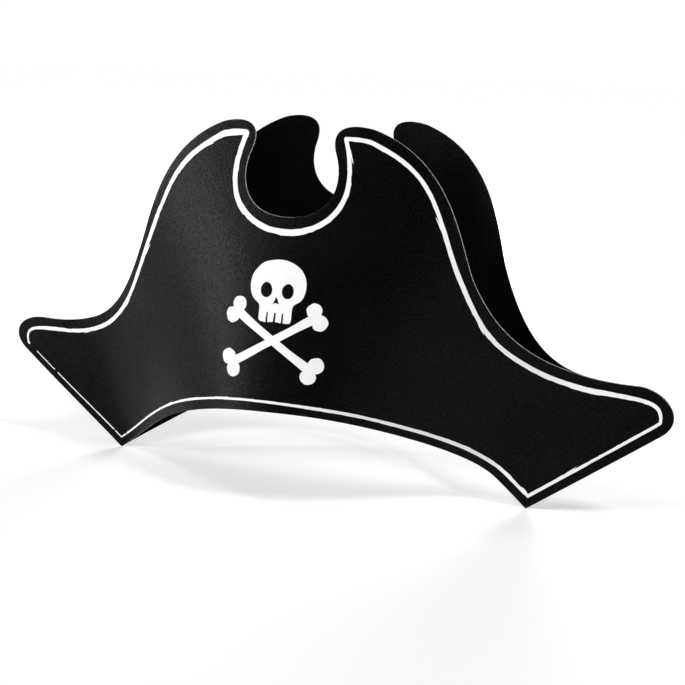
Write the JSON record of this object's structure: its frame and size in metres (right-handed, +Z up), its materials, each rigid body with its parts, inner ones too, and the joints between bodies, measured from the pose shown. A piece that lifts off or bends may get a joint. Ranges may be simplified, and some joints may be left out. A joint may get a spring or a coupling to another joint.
{
  "type": "card pirate hat",
  "caption": "Two-horned pirate hat of two bowed black cards glued at the wing edges, open below for the head, with a white border, skull and crossed bones.",
  "frame": {"origin": "middle of the head opening, in the plane between the two cards, at the level of the two bottom corners", "axes": "+X to the viewer's right along the wings, -Y out of the printed front, +Z up through the horns"},
  "size_m": [0.41, 0.1421, 0.206],
  "materials": {
    "card": "satin black printed card",
    "glue": "dried clear glue",
    "print": "matte white print"
  },
  "bodies": {
    "root": {"front_card": "card", "back_card": "card", "left_glue": "glue", "right_glue": "glue", "border_print": "print", "skull_print": "print", "bones_print": "print"}
  },
  "joints": []
}
